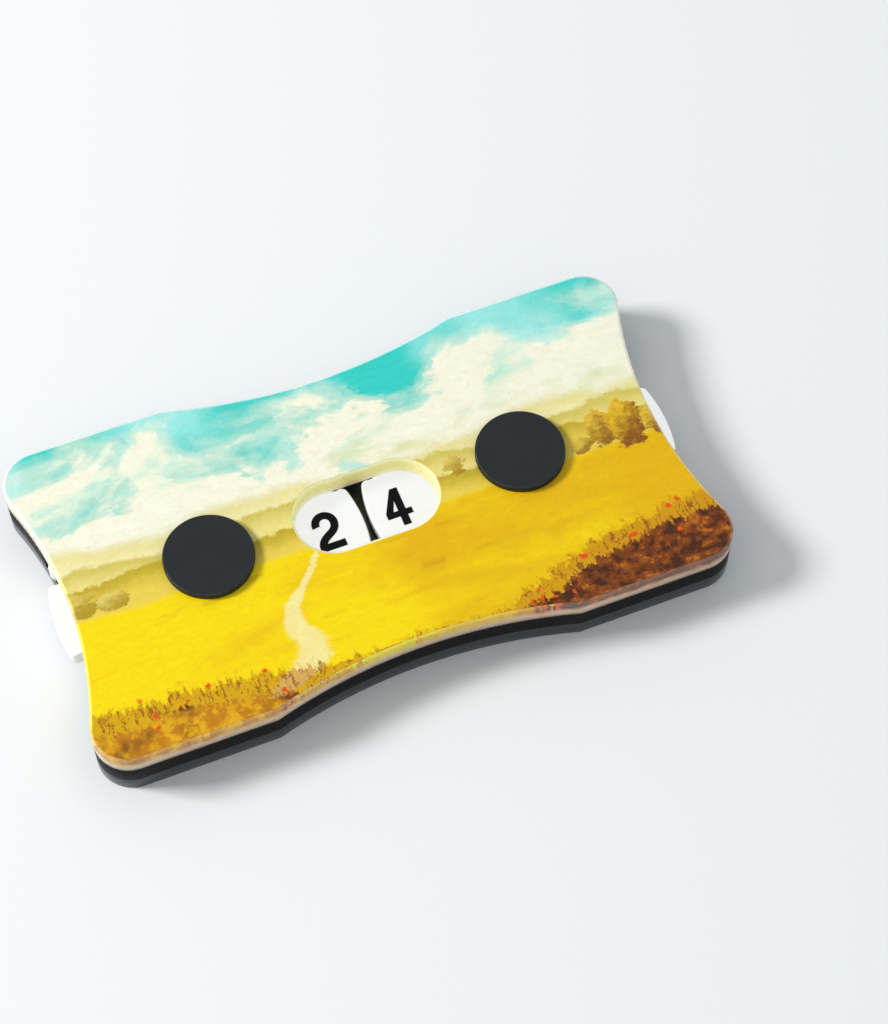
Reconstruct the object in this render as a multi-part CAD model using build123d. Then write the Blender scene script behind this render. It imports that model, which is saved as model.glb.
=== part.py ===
from build123d import *
from math import hypot
import os

# A flat two-digit life counter: three stacked sheets of one outline, and two ten-lobed dials that
# turn between them on binding posts. The origin is at the middle of the underside, +X runs along the
# long sides towards the units dial and +Z is up. All sizes are in millimetres.

# Thickness of each layer, from the underside up
BASE_THICKNESS = 2.7
TAPE_THICKNESS = 0.1
SPACER_THICKNESS = 2.9
TOP_THICKNESS = 3.2
PRINT_THICKNESS = 0.1

# Dials
PIVOT_SPACING = 47.8
RIM_GAP = 1.0  # between the two dials' rims, under the window
DIAL_THICKNESS = 2.4
DIAL_HEADROOM = 0.35  # from a dial's face to the underside of the top sheet
DIGIT_COUNT = 10
NOTCH_WIDTH = 2.0
NOTCH_DEPTH = 2.1
LOBE_CORNER_RADIUS = 0.98
INK_THICKNESS = 0.05

# Outline of the sheets, as margins round the dials
POCKET_CLEARANCE = 0.7  # round a dial
RAIL_WALL = 1.9  # of the spacer, at its thinnest
THUMB_REACH = 2.66  # how far a lobe stands out of the middle of a short side
CORNER_MARGIN = 0.7  # how far the corners stand out past the lobes
CORNER_RADIUS = 5.24
WAIST_KINK = 22.8  # where the long side's straight stretch turns into its hollow
WAIST_SAG = 3.25
PASSAGE_WIDTH = 3.0  # where the two pockets run together
PASSAGE_LENGTH = 15.0
PRINT_INSET = 0.35

# Window in the top sheet
WINDOW_LENGTH = 21.5
WINDOW_WIDTH = 11.5

# Digits
DIGIT_HEIGHT = 6.4
DIGIT_WIDTH = 3.9
STROKE = 1.15
TENS_RADIUS = 17.8  # from the pivot to the middle of a digit
UNITS_RADIUS = 19.2
TENS_SHOWN = 2
UNITS_SHOWN = 4

# Binding posts and their screws
HEAD_RADIUS = 6.6
HEAD_THICKNESS = 1.1
HEAD_EDGE_RADIUS = 0.2
BARREL_RADIUS = 2.5
PLATE_HOLE_CLEARANCE = 0.1  # radial, round a barrel
DIAL_BORE_CLEARANCE = 0.05  # radial, the dial's running fit on its barrel
THREAD_RADIUS = 1.5
THREAD_CLEARANCE = 0.02
THREAD_HOLE_DEPTH = 4.4
SCREW_REACH = 3.6  # into the barrel
SCREW_HOLE_CLEARANCE = 0.1
SCREW_HEAD_RADIUS = 2.75
SCREW_HEAD_THICKNESS = 1.2
SCREW_SINK = 0.15  # of the head below the underside
COUNTERBORE_CLEARANCE = 0.3
SOCKET_ACROSS_FLATS = 2.0
SOCKET_DEPTH = 0.75

# Washers and springs
WASHER_CLEARANCE = 0.1  # radial, round a barrel
SLIP_WASHER_RADIUS = 5.0
SLIP_WASHER_PLAY = 0.05  # between a slip washer and its dial
SPRING_RADIUS = 5.0
SPRING_THICKNESS = 0.12
SPRING_PLAY = 0.02  # between a disc spring and its dial

# Worked-out sizes
PIVOT_X = PIVOT_SPACING / 2
DIAL_RADIUS = PIVOT_X - RIM_GAP / 2
POCKET_RADIUS = DIAL_RADIUS + POCKET_CLEARANCE
HALF_WIDTH = POCKET_RADIUS + RAIL_WALL
HALF_LENGTH = PIVOT_X + DIAL_RADIUS + CORNER_MARGIN
WAIST_HALF_LENGTH = PIVOT_X + DIAL_RADIUS - THUMB_REACH
PITCH_ANGLE = 360 / DIGIT_COUNT

LOWER_TAPE_Z = BASE_THICKNESS
SPACER_Z = LOWER_TAPE_Z + TAPE_THICKNESS
UPPER_TAPE_Z = SPACER_Z + SPACER_THICKNESS
TOP_Z = UPPER_TAPE_Z + TAPE_THICKNESS
PRINT_Z = TOP_Z + TOP_THICKNESS
FACE_Z = PRINT_Z + PRINT_THICKNESS
DIAL_TOP_Z = TOP_Z - DIAL_HEADROOM
DIAL_Z = DIAL_TOP_Z - DIAL_THICKNESS

PIVOTS = {"left": -PIVOT_X, "right": PIVOT_X}


# Outline of the sheets

def sheet_outline():
    """The outline that the three sheets share: round corners, hollow short sides, waisted long sides."""
    end_sag = HALF_LENGTH - WAIST_HALF_LENGTH
    corner_x = HALF_LENGTH - CORNER_RADIUS
    corner_y = HALF_WIDTH - CORNER_RADIUS
    # The short side's arc is tangent to both corner arcs, and this is its radius
    inner = CORNER_RADIUS - end_sag
    end_radius = (inner**2 + corner_y**2 - CORNER_RADIUS**2) / (2 * end_sag)
    end_centre = WAIST_HALF_LENGTH + end_radius
    reach = hypot(end_centre - corner_x, corner_y)
    joint_x = corner_x + CORNER_RADIUS * (end_centre - corner_x) / reach
    joint_y = corner_y - CORNER_RADIUS * corner_y / reach
    # A point of the corner arc, halfway between its ends
    half_x = (joint_x - corner_x) / CORNER_RADIUS
    half_y = (joint_y - corner_y) / CORNER_RADIUS + 1
    half = hypot(half_x, half_y)
    bow_x = corner_x + CORNER_RADIUS * half_x / half
    bow_y = corner_y + CORNER_RADIUS * half_y / half
    edges = []
    for side in (1, -1):
        edges.append(ThreePointArc((side * joint_x, -joint_y), (side * WAIST_HALF_LENGTH, 0),
                                   (side * joint_x, joint_y)))
        edges.append(ThreePointArc((-WAIST_KINK, side * HALF_WIDTH), (0, side * (HALF_WIDTH - WAIST_SAG)),
                                   (WAIST_KINK, side * HALF_WIDTH)))
        for end in (1, -1):
            edges.append(ThreePointArc((end * joint_x, side * joint_y), (end * bow_x, side * bow_y),
                                       (end * corner_x, side * HALF_WIDTH)))
            edges.append(Line((end * corner_x, side * HALF_WIDTH), (end * WAIST_KINK, side * HALF_WIDTH)))
    return make_face(edges)


def at_pivots(shape):
    """The same shape at both pivots."""
    return [Pos(x, 0) * shape for x in PIVOTS.values()]


def sheet(face, bottom, thickness):
    """A solid sheet of a face, standing on a height."""
    return Pos(0, 0, bottom) * extrude(face, thickness)


# Sheets

def base_plate():
    """The bottom sheet, with a counterbored screw hole under each post."""
    plate = sheet(sheet_outline(), 0, BASE_THICKNESS)
    hole = Cylinder(THREAD_RADIUS + SCREW_HOLE_CLEARANCE, 3 * BASE_THICKNESS)
    sink_depth = SCREW_SINK + SCREW_HEAD_THICKNESS
    sink = Cylinder(SCREW_HEAD_RADIUS + COUNTERBORE_CLEARANCE, 2 * sink_depth)
    return plate - at_pivots(hole) - at_pivots(sink)


def rail_outline(side):
    """What the dial pockets leave of the middle sheet along one long side."""
    pockets = at_pivots(Circle(POCKET_RADIUS))
    passage = Rectangle(PASSAGE_WIDTH, PASSAGE_LENGTH)
    half = Pos(0, side * HALF_WIDTH) * Rectangle(4 * HALF_LENGTH, 2 * HALF_WIDTH)
    rest = (sheet_outline() & half) - pockets - passage
    return rest.faces().sort_by(SortBy.AREA)[-1]


def top_plate():
    """The clear top sheet, with the window and the two barrel holes."""
    face = sheet_outline() - SlotOverall(WINDOW_LENGTH, WINDOW_WIDTH)
    face -= at_pivots(Circle(BARREL_RADIUS + PLATE_HOLE_CLEARANCE))
    return sheet(face, TOP_Z, TOP_THICKNESS)


def printed_face():
    """The ink layer, which stops short of every edge of the top sheet."""
    face = offset(sheet_outline(), -PRINT_INSET, kind=Kind.INTERSECTION)
    face -= SlotOverall(WINDOW_LENGTH + 2 * PRINT_INSET, WINDOW_WIDTH + 2 * PRINT_INSET)
    face -= at_pivots(Circle(BARREL_RADIUS + PLATE_HOLE_CLEARANCE + PRINT_INSET))
    return sheet(face, PRINT_Z, PRINT_THICKNESS)


# Dials

def dial_outline():
    """A disc with a rounded notch between each two lobes, and a bore for the post."""
    notch_radius = NOTCH_WIDTH / 2
    root = DIAL_RADIUS - NOTCH_DEPTH + notch_radius
    # The corner's arc may run down to the notch's round root, and no further
    largest = (DIAL_RADIUS**2 - notch_radius**2 - root**2) / 2 / (DIAL_RADIUS + notch_radius)
    corner_radius = min(LOBE_CORNER_RADIUS, 0.98 * largest)
    notch = Pos(root, 0) * Circle(notch_radius)
    notch += Pos(root + NOTCH_DEPTH, 0) * Rectangle(2 * NOTCH_DEPTH, NOTCH_WIDTH)
    face = Circle(DIAL_RADIUS)
    for number in range(DIGIT_COUNT):
        face -= Rot(0, 0, PITCH_ANGLE * (number + 0.5)) * notch
    corners = [v for v in face.vertices() if v.distance_to((0, 0, 0)) > DIAL_RADIUS - 0.01]
    return fillet(corners, corner_radius) - Circle(BARREL_RADIUS + DIAL_BORE_CLEARANCE)


# Digits, drawn about their own middle with one width of stroke

def bow(middle, high, start, sweep):
    """A curved stroke as wide as a digit: part of an ellipse's line, from an angle and over a sweep."""
    line = EllipticalCenterArc((0, middle), (DIGIT_WIDTH - STROKE) / 2, high, start, arc_size=sweep)
    return trace(line, STROKE)


def loop(middle, high):
    """A closed stroke as wide as a digit."""
    return Pos(0, middle) * (Ellipse(DIGIT_WIDTH / 2, high + STROKE / 2)
                             - Ellipse(DIGIT_WIDTH / 2 - STROKE, high - STROKE / 2))


def straight(start, end):
    """A straight stroke with square ends."""
    return trace(Line(start, end), STROKE)


def digit_outline(digit):
    """A bold, narrow digit as a face."""
    edge = DIGIT_WIDTH / 2
    w = (DIGIT_WIDTH - STROKE) / 2
    h = (DIGIT_HEIGHT - STROKE) / 2
    top = DIGIT_HEIGHT / 2
    if digit == 0:
        return (Rot(0, 0, 90) * SlotOverall(DIGIT_HEIGHT, DIGIT_WIDTH)
                - Rot(0, 0, 90) * SlotOverall(DIGIT_HEIGHT - 2 * STROKE, DIGIT_WIDTH - 2 * STROKE))
    if digit == 1:
        right = 0.8 * w
        flag = Polygon((right, top), (0.4 * w, top), (-0.7 * w, top - 1.1 * STROKE),
                       (-0.7 * w, top - 2.1 * STROKE), (right, top - 1.2 * STROKE), align=None)
        return straight((right - STROKE / 2, -top), (right - STROKE / 2, top)) + flag
    if digit == 2:
        neck = Spline((w, 0.46 * h), (-w, -h), tangents=((0, -1), (0, -1)))
        return bow(0.46 * h, 0.54 * h, 188, -188) + trace(neck, STROKE) + straight((-edge, -h), (edge, -h))
    if digit == 3:
        tongue = straight((-0.35 * w, 0.03 * h), (0.1 * w, 0.03 * h))
        return bow(0.515 * h, 0.485 * h, 185, -275) + bow(-0.485 * h, 0.515 * h, 90, -275) + tongue
    if digit == 4:
        stem = 0.36 * w
        bar = -0.42 * h
        left = stem - STROKE / 2
        sill = bar + 0.43 * STROKE
        slope = Polygon((stem, top), (left, top), (-edge, sill), (-edge, bar), (stem, bar), align=None)
        counter = Polygon((left, top - 1.7 * STROKE), (-edge + STROKE, sill), (left, sill), align=None)
        bars = straight((stem, -top), (stem, top)) + Pos(0, bar) * Rectangle(DIGIT_WIDTH, 0.86 * STROKE)
        return slope + bars - counter
    if digit == 5:
        back = straight((-0.85 * w, top), (-0.92 * w, -0.2 * h))
        bar = Pos((0.9 * edge - 0.85 * w) / 2, h) * Rectangle(0.9 * edge + 0.85 * w, STROKE)
        return bow(-0.4 * h, 0.6 * h, 152, -324) + back + bar
    if digit in (6, 9):
        six = bow(0.45 * h, 0.55 * h, 12, 168) + straight((-w, 0.5 * h), (-w, -0.5 * h))
        six += loop(-0.42 * h, 0.58 * h)
        return six if digit == 6 else Rot(0, 0, 180) * six
    if digit == 7:
        leg = Polygon((edge, top), (edge - 1.25 * STROKE, top - STROKE), (-0.05 * w - STROKE, -top),
                      (0.05 * w, -top), (edge, top - STROKE), align=None)
        return straight((-edge, h), (edge, h)) + leg
    return loop(0.53 * h, 0.47 * h) + loop(-0.47 * h, 0.53 * h)


def numerals(pivot_x, radius, shown, facing, step):
    """The ten printed digits of a dial. The one that shows stands upright towards the other dial."""
    solids = []
    for digit in range(DIGIT_COUNT):
        turn = Pos(pivot_x, 0) * Rot(0, 0, step * PITCH_ANGLE * (digit - shown))
        place = turn * Pos(facing * radius, 0, DIAL_TOP_Z)
        solids.append(place * extrude(digit_outline(digit % 10), INK_THICKNESS))
    return solids


# Binding posts and what they carry

def post():
    """A flat round head on a barrel that stands on the bottom sheet and is threaded from below."""
    head = Pos(0, 0, FACE_Z) * extrude(Circle(HEAD_RADIUS), HEAD_THICKNESS)
    head = fillet(head.edges().filter_by(GeomType.CIRCLE).sort_by(Axis.Z)[-1], HEAD_EDGE_RADIUS)
    barrel = sheet(Circle(BARREL_RADIUS), BASE_THICKNESS, FACE_Z - BASE_THICKNESS)
    return head + barrel - sheet(Circle(THREAD_RADIUS), BASE_THICKNESS, THREAD_HOLE_DEPTH)


def screw():
    """A low round-headed screw with a hexagon socket, its thread as a plain shank."""
    length = BASE_THICKNESS - SCREW_SINK + SCREW_REACH
    shank = sheet(Circle(THREAD_RADIUS - THREAD_CLEARANCE), SCREW_SINK, length)
    head = sheet(Circle(SCREW_HEAD_RADIUS), SCREW_SINK, SCREW_HEAD_THICKNESS)
    socket = RegularPolygon(SOCKET_ACROSS_FLATS / 2, 6, major_radius=False)
    return head + shank - sheet(socket, SCREW_SINK, SOCKET_DEPTH)


def slip_washer():
    """The flat washer under the top sheet that keeps a dial off it."""
    ring = Circle(SLIP_WASHER_RADIUS) - Circle(BARREL_RADIUS + WASHER_CLEARANCE)
    thickness = DIAL_HEADROOM - SLIP_WASHER_PLAY
    return sheet(ring, TOP_Z - thickness, thickness)


def disc_spring():
    """The shallow cone under a dial. Its rim stands on the bottom sheet and its eye rubs the dial."""
    eye = BARREL_RADIUS + WASHER_CLEARANCE
    high = DIAL_Z - SPRING_PLAY
    section = Polygon((eye, high), (eye, high - SPRING_THICKNESS), (SPRING_RADIUS, BASE_THICKNESS),
                      (SPRING_RADIUS, BASE_THICKNESS + SPRING_THICKNESS), align=None)
    return revolve(Plane.XZ * section, Axis.Z)


parts = {
    "base_plate": [base_plate()],
    "top_plate": [top_plate()],
    "printed_face": [printed_face()],
    "tens_numerals": numerals(-PIVOT_X, TENS_RADIUS, TENS_SHOWN, 1, -1),
    "units_numerals": numerals(PIVOT_X, UNITS_RADIUS, UNITS_SHOWN, -1, 1),
}
for name, side in {"far": 1, "near": -1}.items():
    rail = rail_outline(side)
    parts["lower_tape_" + name] = [sheet(rail, LOWER_TAPE_Z, TAPE_THICKNESS)]
    parts["spacer_" + name] = [sheet(rail, SPACER_Z, SPACER_THICKNESS)]
    parts["upper_tape_" + name] = [sheet(rail, UPPER_TAPE_Z, TAPE_THICKNESS)]
for name, pivot_x in PIVOTS.items():
    parts["dial_" + name] = [Pos(pivot_x, 0) * sheet(dial_outline(), DIAL_Z, DIAL_THICKNESS)]
    for piece in (post, screw, slip_washer, disc_spring):
        parts[f"{piece.__name__}_{name}"] = [Pos(pivot_x, 0) * piece()]

os.makedirs("parts", exist_ok=True)
for name, solids in parts.items():
    shape = solids[0] if len(solids) == 1 else Compound(children=solids)
    export_step(shape, f"parts/{name}.step")
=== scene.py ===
"""Dresses the two-digit life counter: sheets, print, dials, posts, and a pale stage with one soft lamp.

Lengths are in metres in the meshes and in millimetres inside the materials.
"""

import math

import bmesh
import bpy
from bpy.props import FloatProperty, FloatVectorProperty, IntProperty, PointerProperty
from mathutils import Matrix, Vector


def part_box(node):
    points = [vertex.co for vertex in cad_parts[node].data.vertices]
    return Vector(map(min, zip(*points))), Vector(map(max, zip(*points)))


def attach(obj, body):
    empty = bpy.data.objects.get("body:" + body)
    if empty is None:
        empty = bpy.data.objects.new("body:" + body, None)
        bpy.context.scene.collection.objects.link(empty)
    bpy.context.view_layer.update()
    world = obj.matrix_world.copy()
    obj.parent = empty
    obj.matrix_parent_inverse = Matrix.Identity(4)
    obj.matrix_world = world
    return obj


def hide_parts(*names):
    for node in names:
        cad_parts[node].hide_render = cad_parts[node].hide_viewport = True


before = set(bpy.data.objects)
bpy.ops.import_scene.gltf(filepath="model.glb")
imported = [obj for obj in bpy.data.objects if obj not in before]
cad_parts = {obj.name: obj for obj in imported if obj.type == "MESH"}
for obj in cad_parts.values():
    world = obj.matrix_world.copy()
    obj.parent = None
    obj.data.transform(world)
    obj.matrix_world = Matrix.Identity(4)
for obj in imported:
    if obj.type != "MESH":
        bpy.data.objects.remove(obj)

bl_info = {
    "name": "Two-digit life counter",
    "version": (1, 0, 0),
    "blender": (4, 5, 0),
    "location": "3D View > Sidebar > Counter",
    "description": "Builds the sheets, dials, posts, finishes and stage of a two-digit life counter",
    "category": "Add Mesh",
}

MM = 0.001

# Points nearer than this are welded, and walls that meet at more than this angle keep a sharp edge
WELD_DISTANCE = 0.0005 * MM
SHARP_ANGLE = math.radians(40)
LEVEL_NORMAL = 0.999

# How far light passes on through the clear sheet and the print
LIGHT_REACH = 8.5 * MM

# The painted glow round the window, a pale yellow tint that stands for the light the clear sheet leads to
# its walls, in millimetres from its middle, with X counted half
WINDOW_GLOW_FULL = 7.5
WINDOW_GLOW_END = 11.0

# The pieces, by the finish they share
RAIL_SIDES = ("far", "near")
DIAL_SIDES = ("left", "right")
DIAL_BODIES = {"left": "tens_dial", "right": "units_dial"}
NUMERALS = {"left": "tens_numerals", "right": "units_numerals"}


def rgb(red, green, blue):
    """A linear colour from sRGB values of 0 to 255."""
    return tuple((v / 255 / 12.92) if v <= 10 else ((v / 255 + 0.055) / 1.055) ** 2.4
                 for v in (red, green, blue))


def colour(name, description, default):
    """A colour that a user can change."""
    return FloatVectorProperty(name=name, description=description, default=default,
                               subtype="COLOR", min=0, max=1)


def length(name, description, default):
    """A size that a user can change, in metres."""
    return FloatProperty(name=name, description=description, default=default, min=0, unit="LENGTH",
                         precision=5)


class CounterSizes(bpy.types.PropertyGroup):
    """Sizes of the finish: softened edges, and the dials' outline."""

    sheet_edge: length("Sheet edge", "Width of the softened edge of the acrylic sheets", 0.14 * MM)
    print_edge: length("Print edge", "Width of the ink's rounded edge", 0.04 * MM)
    metal_edge: length("Metal edge", "Width of the broken edges of the posts and screws", 0.1 * MM)
    dial_edge: length("Dial edge", "Width of the softened edge of a dial", 0.16 * MM)
    overlap: length("Bond overlap", "How far a bonded layer sinks into the clear sheet", 0.012 * MM)
    lobes: IntProperty(name="Lobes", description="Lobes on each dial", default=10, min=3)
    notch_width: length("Notch width", "Width of the notch between two lobes", 2.0 * MM)
    notch_depth: length("Notch depth", "Depth of the notch between two lobes", 2.1 * MM)
    lobe_corner: length("Lobe corner", "Radius of a lobe's corners", 0.98 * MM)
    bore: length("Bore", "Radius of a dial's bore", 2.55 * MM)


class CounterColours(bpy.types.PropertyGroup):
    """Colours of the acrylic, the metal and the inks."""

    # Painted light: this is the clear sheet's cut edge at the lamp's side; away from the lamp it is painted
    # darker and pinkish
    sheet: colour("Clear sheet", "Tint of the clear sheet's frosted edge", rgb(255, 232, 200))
    base: colour("Base sheet", "Gloss black of the bottom sheet", rgb(34, 38, 41))
    spacer: colour("Spacer", "Matt black of the laser-cut rails", rgb(7, 5, 4))
    tape: colour("Tape", "Bond layer between the sheets", rgb(30, 31, 33))
    dial: colour("Dial", "White acrylic of the dials", rgb(251, 253, 254))
    digit: colour("Digit", "Black of the printed digits", rgb(5, 5, 6))
    post: colour("Post", "Black of the binding posts", rgb(22, 27, 28))
    steel: colour("Steel", "Screws and disc springs", rgb(176, 178, 180))
    nylon: colour("Nylon", "Slip washers", rgb(226, 224, 214))
    sky: colour("Sky", "Deep tone of the painted sky", rgb(56, 214, 204))
    pale_sky: colour("Pale sky", "Light tone of the painted sky", rgb(160, 240, 236))
    cloud: colour("Cloud", "Painted clouds", rgb(254, 253, 232))
    haze: colour("Haze", "Painted ridges far away", rgb(228, 216, 122))
    ridge: colour("Ridge", "Painted ridges nearer by", rgb(196, 172, 44))
    field: colour("Field", "Bright tone of the painted field", rgb(255, 226, 2))
    gold: colour("Gold", "Deep tone of the painted field", rgb(236, 188, 8))
    bank: colour("Bank", "Painted heath bank", rgb(132, 66, 18))
    shade: colour("Shade", "Darkest painted tone", rgb(70, 34, 14))
    flower: colour("Flower", "Painted flowers", rgb(236, 84, 20))


class CounterStage(bpy.types.PropertyGroup):
    """The floor, the lamp and the camera."""

    floor: colour("Floor", "Colour of the pale floor", rgb(243, 246, 248))
    ambient: FloatProperty(name="Ambient", description="Strength of the light from all round", default=0.52,
                           min=0)
    lamp_share: FloatProperty(name="Lamp", description="The lamp's part of the light on the floor",
                              default=0.52, min=0)
    lamp_azimuth: FloatProperty(name="Lamp azimuth", description="Where the lamp stands, from +X",
                                default=math.radians(155.7), subtype="ANGLE")
    lamp_elevation: FloatProperty(name="Lamp elevation", description="Height of the lamp over the floor",
                                  default=math.radians(37), subtype="ANGLE")
    lamp_distance: length("Lamp distance", "From the counter to the lamp", 1.4)
    lamp_size: length("Lamp size", "Side of the square lamp", 0.36)
    camera_azimuth: FloatProperty(name="Camera azimuth", description="Turn of the view round the counter",
                                  default=math.radians(-21.738), subtype="ANGLE")
    camera_elevation: FloatProperty(name="Camera elevation", description="Height of the view",
                                    default=math.radians(60.326), subtype="ANGLE")
    camera_roll: FloatProperty(name="Camera roll", description="Tilt of the picture",
                               default=math.radians(0.289), subtype="ANGLE")
    camera_distance: length("Camera distance", "From the camera to what it looks at", 367.4 * MM)
    camera_target: FloatVectorProperty(name="Camera target", unit="LENGTH",
                                       description="The point in the picture's middle",
                                       default=(9.981 * MM, -5.152 * MM, 9.1 * MM))
    focal_length: FloatProperty(name="Focal length", description="For a sensor of 36 mm, in millimetres",
                                default=89.89, min=1, unit="CAMERA")


# Node trees

class Graph:
    """Adds nodes to one tree and joins them up. Most methods return the new node's output."""

    def __init__(self, tree):
        self.tree = tree
        self.entry = None
        self.exit = None

    def node(self, kind, inputs=None, **settings):
        """A new node. Its inputs are given by name or index, as values or as outputs to link."""
        node = self.tree.nodes.new(kind)
        for key, value in settings.items():
            setattr(node, key, value)
        for key, value in (inputs or {}).items():
            self.feed(node.inputs[key], value)
        return node

    def feed(self, socket, value):
        """Gives a socket a value, or links an output to it."""
        if isinstance(value, bpy.types.NodeSocket):
            self.tree.links.new(value, socket)
        elif socket.type == "RGBA" and len(value) == 3:
            socket.default_value = (*value, 1)
        else:
            socket.default_value = value

    def math(self, operation, first, second=0.0):
        """One step of arithmetic."""
        return self.node("ShaderNodeMath", {0: first, 1: second}, operation=operation).outputs[0]

    def vector(self, operation, first, second):
        """One step of vector arithmetic."""
        return self.node("ShaderNodeVectorMath", {0: first, 1: second}, operation=operation).outputs[0]

    def smooth(self, value, low, high):
        """A soft step from 0 to 1 between two values."""
        return self.node("ShaderNodeMapRange", {"Value": value, "From Min": low, "From Max": high},
                         interpolation_type="SMOOTHSTEP").outputs[0]

    def fit(self, value, low, high):
        """A value of 0 to 1 fitted between two others."""
        return self.node("ShaderNodeMapRange", {"Value": value, "To Min": low, "To Max": high}).outputs[0]

    def mix(self, factor, first, second, blend="MIX"):
        """A mix of two colours."""
        return self.node("ShaderNodeMix", {0: factor, 6: first, 7: second}, data_type="RGBA",
                         blend_type=blend).outputs[2]

    def noise(self, vector, scale, detail=2.0, roughness=0.5, distortion=0.0):
        """Soft noise of about 0 to 1."""
        inputs = {"Vector": vector, "Scale": scale, "Detail": detail, "Roughness": roughness,
                  "Distortion": distortion}
        return self.node("ShaderNodeTexNoise", inputs).outputs[0]

    def parts(self, vector):
        """The X, Y and Z of a vector."""
        return self.node("ShaderNodeSeparateXYZ", {0: vector}).outputs

    def join(self, x=0.0, y=0.0, z=0.0):
        """A vector of three numbers."""
        return self.node("ShaderNodeCombineXYZ", {0: x, 1: y, 2: z}).outputs[0]

    def bump(self, height, distance, strength=1.0, normal=None):
        """A normal from a height, with the height's size in metres."""
        inputs = {"Height": height, "Distance": distance, "Strength": strength}
        if normal is not None:
            inputs["Normal"] = normal
        return self.node("ShaderNodeBump", inputs).outputs[0]

    def group(self, name, **inputs):
        """A shared group placed here, with its own values."""
        node = self.node("ShaderNodeGroup", node_tree=bpy.data.node_groups[name])
        for key, value in inputs.items():
            self.feed(node.inputs[key.replace("_", " ").capitalize()], value)
        return node.outputs

    def millimetres(self):
        """The place on the object, in millimetres."""
        place = self.node("ShaderNodeTexCoord").outputs["Object"]
        return self.node("ShaderNodeVectorMath", {0: place, "Scale": 1 / MM}, operation="SCALE").outputs[0]


def socket_kind(default):
    """The kind of socket for a default: a number, three numbers or a colour with its alpha."""
    if isinstance(default, float):
        return "NodeSocketFloat"
    return "NodeSocketVector" if len(default) == 3 else "NodeSocketColor"


def shader_group(name, inputs, outputs):
    """A new shader group. Inputs are names with defaults, outputs are names with kinds."""
    tree = bpy.data.node_groups.new(name, "ShaderNodeTree")
    for label, default in inputs.items():
        socket = tree.interface.new_socket(label, in_out="INPUT", socket_type=socket_kind(default))
        socket.default_value = default
    for label, kind in outputs.items():
        tree.interface.new_socket(label, in_out="OUTPUT", socket_type=kind)
    graph = Graph(tree)
    graph.entry = tree.nodes.new("NodeGroupInput").outputs
    graph.exit = tree.nodes.new("NodeGroupOutput").inputs
    return graph


def make_fine_scratches():
    """Hairline scratches in two directions, and a soft smear under them."""
    g = shader_group("fine_scratches", {"Vector": (0.0, 0.0, 0.0), "Density": 1.0},
                     {"Lines": "NodeSocketFloat", "Smear": "NodeSocketFloat"})
    place = g.entry["Vector"]
    lines = None
    for turn, stretch in ((0.5, 28.0), (-0.9, 22.0)):
        turned = g.node("ShaderNodeMapping", {"Vector": place, "Rotation": (0, 0, turn),
                                              "Scale": (0.12, stretch / 8, 0.5)}).outputs[0]
        grain = g.noise(turned, g.math("MULTIPLY", g.entry["Density"], 1.3), 3.0, 0.6, 0.3)
        line = g.smooth(grain, 0.66, 0.72)
        lines = line if lines is None else g.math("MAXIMUM", lines, line)
    g.feed(g.exit["Lines"], lines)
    g.feed(g.exit["Smear"], g.noise(place, 0.09, 3.0, 0.6))


def make_dust():
    """Sparse specks of lint and dust that lie on the upward faces."""
    g = shader_group("dust", {"Vector": (0.0, 0.0, 0.0), "Amount": 0.5}, {"Mask": "NodeSocketFloat"})
    cells = g.node("ShaderNodeTexVoronoi", {"Vector": g.entry["Vector"], "Scale": 0.55, "Randomness": 1.0})
    chance = g.parts(cells.outputs["Color"])[0]
    picked = g.math("LESS_THAN", chance, g.math("MULTIPLY", g.entry["Amount"], 0.3))
    speck = g.math("SUBTRACT", 1.0, g.smooth(cells.outputs["Distance"], 0.015, 0.06))
    up = g.parts(g.node("ShaderNodeNewGeometry").outputs["Normal"])[2]
    g.feed(g.exit["Mask"], g.math("MULTIPLY", g.math("MULTIPLY", picked, speck), g.smooth(up, 0.5, 0.9)))


def make_laser_edge():
    """The fine upright ripples that a laser leaves on a cut edge, and where the cut edge is."""
    g = shader_group("laser_edge", {"Vector": (0.0, 0.0, 0.0), "Pitch": 0.25},
                     {"Side": "NodeSocketFloat", "Ripple": "NodeSocketFloat"})
    up = g.parts(g.node("ShaderNodeNewGeometry").outputs["Normal"])[2]
    side = g.math("SUBTRACT", 1.0, g.smooth(g.math("ABSOLUTE", up), 0.2, 0.7))
    drawn = g.vector("MULTIPLY", g.entry["Vector"], (1.0, 1.0, 0.12))
    ripple = g.noise(drawn, g.math("DIVIDE", 1.0, g.entry["Pitch"]), 2.0, 0.5)
    g.feed(g.exit["Side"], side)
    g.feed(g.exit["Ripple"], g.math("MULTIPLY", side, ripple))


def make_edge_band():
    """A worn line along the rims of a flat piece that lies between two heights."""
    g = shader_group("edge_band", {"Vector": (0.0, 0.0, 0.0), "Low": 0.0, "High": 1.0, "Width": 0.15},
                     {"Mask": "NodeSocketFloat"})
    height = g.parts(g.entry["Vector"])[2]
    above = g.math("SUBTRACT", height, g.entry["Low"])
    below = g.math("SUBTRACT", g.entry["High"], height)
    near = g.math("MINIMUM", above, below)
    up = g.parts(g.node("ShaderNodeNewGeometry").outputs["Normal"])[2]
    tilted = g.math("SUBTRACT", 1.0, g.smooth(g.math("ABSOLUTE", up), 0.9, 0.99))
    band = g.math("SUBTRACT", 1.0, g.smooth(near, 0.0, g.entry["Width"]))
    broken = g.smooth(g.noise(g.entry["Vector"], 0.7, 4.0, 0.6), 0.35, 0.62)
    g.feed(g.exit["Mask"], g.math("MULTIPLY", g.math("MULTIPLY", band, tilted), broken))


# The painting

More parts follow.
